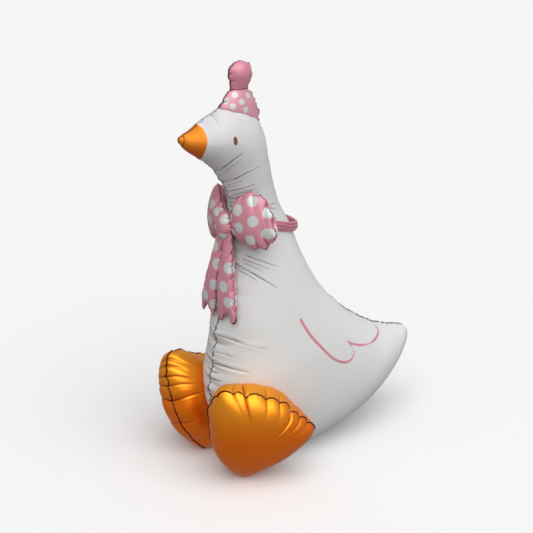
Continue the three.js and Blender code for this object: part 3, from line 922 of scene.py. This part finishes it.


# The band: a flat oval section carried round the neck, lower and looser behind, with folds along it, which
# also get lines of painted shade.
def makeBand():
    turns = np.arange(band["steps"]) / band["steps"]
    behind = 0.5 + 0.5 * np.cos(2 * np.pi * turns)
    heights = bow["height"] + band["rise"] - band["fall"] * behind ** 1.5
    line = np.array([gooseAt(turn, high) for turn, high in zip(turns, heights)])
    step = np.roll(line, -2, 0) - np.roll(line, 2, 0)
    out = np.stack([-step[:, 1], step[:, 0], 0 * turns], -1)
    out /= np.linalg.norm(out, axis=1, keepdims=True)
    if (out * (line - line.mean(0))).sum() < 0:
        out = -out
    off = band["thickness"] / 2 + band["clearance"] + band["slack"] * np.maximum(0, 2 * behind - 1) ** 2
    a = 2 * np.pi * np.arange(band["section"])[None] / band["section"]
    uneven = 1 - 0.10 * np.sin(6 * np.pi * turns + 1) - 0.05 * np.sin(14 * np.pi * turns)
    wide = band["height"] / 2 * uneven[:, None]
    sway = 2.2 * np.sin(4 * np.pi * turns)[:, None]
    folds = 1.3 * np.cos(3 * np.pi * np.cos(a) + sway) * np.maximum(0, np.sin(a))
    reach = off[:, None] + band["thickness"] / 2 * signedPower(np.sin(a), 0.8) - folds - 0.4
    p = line[:, None] + out[:, None] * reach[..., None]
    p[..., 2] += wide * np.cos(a)
    rows, cols = p.shape[:2]
    index = np.arange(rows * cols).reshape(rows, cols)
    under, right = np.roll(index, -1, 0), np.roll(index, -1, 1)
    quads = np.stack([index, under, np.roll(under, -1, 1), right], -1).reshape(-1, 4)
    flat = p.reshape(-1, 3)
    x, y, z = (flat[quads[:, [0, 1, 2]]][:, k] for k in range(3))
    if np.einsum("ij,ij->i", x, np.cross(y, z)).sum() < 0:
        quads = quads[:, ::-1]
    across = wide * np.cos(a)
    # painted shade: dark lines along two folds of the band
    foldAt = [4.2 + 2.0 * np.sin(2 * np.pi * turns * 2 + 1), -3.6 + 1.8 * np.sin(2 * np.pi * turns * 3)]
    ways = [across - at[:, None] for at in foldAt]
    off = [np.abs(way) for way in ways]
    layers = {
        "seamGap": 30 + 0 * across,
        "seamLength": 30 + 0 * across,
        "largeWay": np.where(off[0] < off[1], *ways),
        "largeLine": 0.8 * (1 - ease(1.5, 3, np.minimum(*off))) * (np.sin(a) > 0.1),
    }
    return newPiece("band_foil", flat, quads.tolist(), layers)


# A new material with its node tree and its shader.
def newMaterial(name):
    material = bpy.data.materials.new(name)
    material.use_nodes = True
    tree = material.node_tree
    return material, tree, tree.nodes["Principled BSDF"]


# Adds a shader node and gives it its settings.
def addNode(tree, kind, **settings):
    made = tree.nodes.new("ShaderNode" + kind)
    for key, value in settings.items():
        setattr(made, key, value)
    return made


# Adds a Math node over plain numbers and outputs of other nodes.
def reckon(tree, operation, *values, clamp=False):
    made = addNode(tree, "Math", operation=operation, use_clamp=clamp)
    for k, value in enumerate(values):
        if isinstance(value, (int, float)):
            made.inputs[k].default_value = value
        else:
            tree.links.new(value, made.inputs[k])
    return made.outputs["Value"]


# The value of a layer on the mesh's points.
def layerValue(tree, name):
    return addNode(tree, "Attribute", attribute_name=name).outputs["Fac"]


# 1 where the value is below the edge and 0 above it, with a narrow soft step.
def below(tree, value, edge, soft):
    step = addNode(tree, "MapRange", interpolation_type="SMOOTHSTEP")
    step.inputs["From Min"].default_value = edge - soft
    step.inputs["From Max"].default_value = edge + soft
    step.inputs["To Min"].default_value = 1
    step.inputs["To Max"].default_value = 0
    tree.links.new(value, step.inputs["Value"])
    return step.outputs["Result"]


# 1 below a height over the floor in mm and 0 above it; soft is half the blend.
def belowHeight(tree, height, soft):
    parts = addNode(tree, "SeparateXYZ")
    tree.links.new(addNode(tree, "TexCoord").outputs["Object"], parts.inputs["Vector"])
    return below(tree, parts.outputs["Z"], height * mm, soft * mm)


# Lays a colour over another where the mask is 1. Each is a fixed colour or comes from a node.
def over(tree, under, colour, mask):
    mix = addNode(tree, "Mix", data_type="RGBA")
    for socket, value in (("A", under), ("B", colour)):
        if isinstance(value, tuple):
            mix.inputs[socket].default_value = (*value, 1)
        else:
            tree.links.new(value, mix.inputs[socket])
    tree.links.new(mask, mix.inputs["Factor"])
    return mix.outputs["Result"]


# Painted shade in a crease: a mask of a thin dark line where the signed way across is near zero, times the
# line's strength.
def creaseShadeMask(tree, name, width, darkness):
    off = reckon(tree, "ABSOLUTE", layerValue(tree, name + "Way"))
    strength = reckon(tree, "MULTIPLY", layerValue(tree, name + "Line"), darkness, clamp=True)
    return reckon(tree, "MULTIPLY", below(tree, off, width, width * 0.7), strength, clamp=True)


# A foil's ground colour: cloudy light and dark patches, by a noise of the position.
def cloudy(tree, colour, scale, change):
    noise = addNode(tree, "TexNoise")
    noise.inputs["Scale"].default_value = scale
    noise.inputs["Detail"].default_value = 3
    tree.links.new(addNode(tree, "TexCoord").outputs["Object"], noise.inputs["Vector"])
    darker = tuple(c * (1 - change) for c in colour)
    return over(tree, tuple(min(1, c * (1 + change)) for c in colour), darker, noise.outputs["Fac"])


# Fine wrinkles that start at the seam and run into the panel: a noise stretched across the seam,
# which fades with the distance from it, and a faint ripple everywhere.
def wrinkles(tree, strength, reach):
    link = tree.links.new
    gap, length = layerValue(tree, "seamGap"), layerValue(tree, "seamLength")
    place = addNode(tree, "CombineXYZ")
    link(length, place.inputs["X"])
    link(gap, place.inputs["Y"])
    sized = addNode(tree, "VectorMath", operation="MULTIPLY")
    sized.inputs[1].default_value = (0.16, 0.014, 1)
    link(place.outputs["Vector"], sized.inputs[0])
    noise = addNode(tree, "TexNoise", noise_type="RIDGED_MULTIFRACTAL")
    noise.inputs["Scale"].default_value = 1
    noise.inputs["Detail"].default_value = 2
    link(sized.outputs["Vector"], noise.inputs["Vector"])
    near = reckon(tree, "MULTIPLY", noise.outputs["Fac"], below(tree, gap, reach * 0.55, reach * 0.45))
    ripple = addNode(tree, "TexNoise")
    ripple.inputs["Scale"].default_value = 26
    link(addNode(tree, "TexCoord").outputs["Object"], ripple.inputs["Vector"])
    bump = addNode(tree, "Bump")
    bump.inputs["Strength"].default_value = strength
    bump.inputs["Distance"].default_value = 0.0016
    link(reckon(tree, "MULTIPLY_ADD", ripple.outputs["Fac"], 0.5, near), bump.inputs["Height"])
    return bump.outputs["Normal"]


# What all the foils share: painted shade as dark lines in the creases, the dark and broken line of the seam,
# which is partly the sealed edge's own colour and partly painted shade, and wrinkles.
def paintCreaseShadeAndSurface(tree, shader, colour, look, seamLineAndCreaseShade):
    # painted shade: dark lines along the creases
    for name, width, darkness in look["creaseShadeLook"]:
        colour = over(tree, colour, seamLineAndCreaseShade, creaseShadeMask(tree, name, width, darkness))
    # the seam's dark and broken line: partly the sealed edge's own colour, partly painted shade
    seam = below(tree, layerValue(tree, "seamGap"), look["seamWidth"], 0.6)
    uneven = addNode(tree, "TexNoise", noise_dimensions="1D")
    uneven.inputs["Scale"].default_value = 0.09
    tree.links.new(layerValue(tree, "seamLength"), uneven.inputs["W"])
    shown = below(tree, uneven.outputs["Fac"], look["seamShare"], 0.12)
    colour = over(tree, colour, seamLineAndCreaseShade, reckon(tree, "MULTIPLY", seam, shown, clamp=True))
    tree.links.new(colour, shader.inputs["Base Color"])
    tree.links.new(wrinkles(tree, *look["wrinkles"]), shader.inputs["Normal"])
    shader.inputs["Roughness"].default_value = look["rough"]
    if not shader.inputs["Metallic"].is_linked:
        shader.inputs["Metallic"].default_value = look["metal"]


# White satin foil with the bill, the eyes and the wing lines printed on it, and painted shade: a darker white
# from the neck up and a darker orange on the bill's underside.
def whiteFoil():
    material, tree, shader = newMaterial("whitePrintedFoil")
    # painted shade: the white is darker from the neck up
    neck = cloudy(tree, goose["paintedNeckShadeWhite"], 5, 0.03)
    body = cloudy(tree, goose["white"], 5, 0.03)
    colour = over(tree, neck, body, belowHeight(tree, *goose["neckShadeFrom"]))
    wing = below(tree, layerValue(tree, "wing"), goose["lineWidth"] / 2 - 0.4, 0.7)
    colour = over(tree, colour, goose["wingPink"], wing)
    # painted shade: the bill's orange darkens below a height, towards its underside
    billOrange = over(tree, goose["orange"], goose["paintedShadeOrange"], belowHeight(tree, *goose["paintedShadeFrom"]))
    billMask = below(tree, reckon(tree, "MULTIPLY", layerValue(tree, "bill"), -1), 0, 0.8)
    colour = over(tree, colour, billOrange, billMask)
    value = addNode(tree, "TexCoord").outputs["Object"]
    for operation, numbers in (
        ("ABSOLUTE", None),
        ("SUBTRACT", [k * mm for k in goose["eye"]]),
        ("MULTIPLY", [1 / (k * mm) for k in goose["eyeSize"]]),
    ):
        step = addNode(tree, "VectorMath", operation=operation)
        if numbers:
            step.inputs[1].default_value = numbers
        tree.links.new(value, step.inputs[0])
        value = step.outputs["Vector"]
    size = addNode(tree, "VectorMath", operation="LENGTH")
    tree.links.new(value, size.inputs[0])
    colour = over(tree, colour, goose["eyeRim"], below(tree, size.outputs["Value"], 1.22, 0.08))
    colour = over(tree, colour, goose["eyeBrown"], below(tree, size.outputs["Value"], 1.0, 0.08))
    shine = addNode(tree, "MapRange")
    shine.inputs["To Min"].default_value = goose["metal"]
    shine.inputs["To Max"].default_value = goose["billMetal"]
    tree.links.new(billMask, shine.inputs["Value"])
    tree.links.new(shine.outputs["Result"], shader.inputs["Metallic"])
    paintCreaseShadeAndSurface(tree, shader, colour, goose, over(tree, goose["seamLineAndCreaseShade"], goose["billSeamLineAndCreaseShade"], billMask))
    return material


# Metallic orange foil, with painted shade that makes it darker and redder near the floor.
def orangeFoil():
    material, tree, shader = newMaterial("orangeFoil")
    colour = cloudy(tree, foot["orange"], 7, 0.08)
    # painted shade: the orange turns darker and redder below a height
    colour = over(tree, colour, foot["paintedShadeOrange"], belowHeight(tree, *foot["paintedShadeFrom"]))
    paintCreaseShadeAndSurface(tree, shader, colour, foot, foot["seamLineAndCreaseShade"])
    return material


# Pink foil with white dots; above a height it may turn to a second pink.
def pinkFoil(name, look, dotted=True, second=None, secondFrom=0):
    material, tree, shader = newMaterial(name)
    colour = cloudy(tree, look["pink"], 12, 0.05)
    if dotted:
        colour = over(tree, colour, look["dotWhite"], below(tree, layerValue(tree, "dots"), 0, 0.6))
    if second:
        colour = over(tree, colour, second, reckon(tree, "SUBTRACT", 1, belowHeight(tree, secondFrom, 1.5)))
    paintCreaseShadeAndSurface(tree, shader, colour, look, look["seamLineAndCreaseShade"])
    return material


gooseFoil = dress(makeGoose(), whiteFoil(), "goose_body")
orange = orangeFoil()
dress(makeFoot("foot_left_foil", 1, 31, foot["leftGathers"]), orange, "foot_left")
dress(makeFoot("foot_right_foil", -1, 57, foot["rightGathers"]), orange, "foot_right")
hatPink = pinkFoil("hatFoil", hat, True, hat["dusky"], hat["pompomFrom"])
dress(makeHat(), hatPink, "party_hat")
bandFoil = dress(makeBand(), pinkFoil("bandFoil", band, False), "neck_band")
bowPink = pinkFoil("bowFoil", bow)
loopsFoil = dress(makeLoops(), bowPink, "bow_loops")
knotFoil = dress(makeKnot(), bowPink, "bow_knot")
tailLeft = makeTail("tail_left_foil", 1, 91, 12, bow["leftTailDots"])
dress(tailLeft, bowPink, "bow_tail_left")
tailRight = makeTail("tail_right_foil", -1, 97, 0, bow["rightTailDots"])
dress(tailRight, bowPink, "bow_tail_right")


light = {
    "floor": 0.755,
    # the studio's glow by the height of the direction: darker from below, brighter from above
    "sky": {"From Min": -0.5, "From Max": 0.1, "To Min": 0.34, "To Max": 0.45},
    "behind": 0.91,  # the plain pale surroundings beyond the floor
    "sun": (76, 56, 75, 2.95),  # azimuth, elevation, angle across, power
}

floorMesh = bpy.data.meshes.new("floor")
floorMesh.from_pydata([(-60, -60, 0), (60, -60, 0), (60, 60, 0), (-60, 60, 0)], [], [(0, 1, 2, 3)])
floor = intoScene("floor", floorMesh)
floorMaterial, floorTree, floorShader = newMaterial("paleFloor")
floorShader.inputs["Base Color"].default_value = (light["floor"],) * 3 + (1,)
floorShader.inputs["Roughness"].default_value = 0.9
floorMesh.materials.append(floorMaterial)
floor.visible_diffuse = False  # the object is lit from below by the studio's glow alone
floor.visible_glossy = False

world = bpy.data.worlds.new("studio")
bpy.context.scene.world = world
world.use_nodes = True
studio = world.node_tree
heightOf = addNode(studio, "SeparateXYZ")
studio.links.new(addNode(studio, "TexCoord").outputs["Generated"], heightOf.inputs["Vector"])
glow = addNode(studio, "MapRange", interpolation_type="SMOOTHSTEP")
for key, value in light["sky"].items():
    glow.inputs[key].default_value = value
studio.links.new(heightOf.outputs["Z"], glow.inputs["Value"])
behind = addNode(studio, "Mix", data_type="FLOAT")
behind.inputs["B"].default_value = light["behind"]
studio.links.new(addNode(studio, "LightPath").outputs["Is Camera Ray"], behind.inputs["Factor"])
studio.links.new(glow.outputs["Result"], behind.inputs["A"])
studio.links.new(behind.outputs["Result"], studio.nodes["Background"].inputs["Strength"])
studio.nodes["Background"].inputs["Color"].default_value = (1, 1, 1, 1)
bpy.context.scene.view_settings.view_transform = "Standard"


# The direction to a far place by its azimuth and elevation in degrees.
def directionOf(azimuth, elevation):
    turn, high = math.radians(azimuth), math.radians(elevation)
    return Vector((math.sin(turn) * math.cos(high), -math.cos(turn) * math.cos(high), math.sin(high)))


sunAzimuth, sunElevation, sunAcross, sunPower = light["sun"]
sun = bpy.data.lights.new("overheadLight", "SUN")
sun.angle = math.radians(sunAcross)
sun.energy = sunPower
sunWay = directionOf(sunAzimuth, sunElevation)
intoScene("overheadLight", sun).rotation_euler = sunWay.to_track_quat("Z", "Y").to_euler()

view = {
    "azimuth": 55,
    "elevation": 20,
    "distance": 3.0015,
    "aim": (0, footprint * mm, 0.48645),
    "focal": 1230,  # the focal length in pixels of the photo
    "pixels": 533,
}
back = directionOf(view["azimuth"], view["elevation"])
camera = intoScene("camera", bpy.data.cameras.new("camera"))
camera.data.sensor_width = 36
camera.data.lens = view["focal"] * 36 / view["pixels"]
camera.location = Vector(view["aim"]) + back * view["distance"]
camera.rotation_euler = back.to_track_quat("Z", "Y").to_euler()
bpy.context.scene.camera = camera
print("floor, studio, light and camera are set")
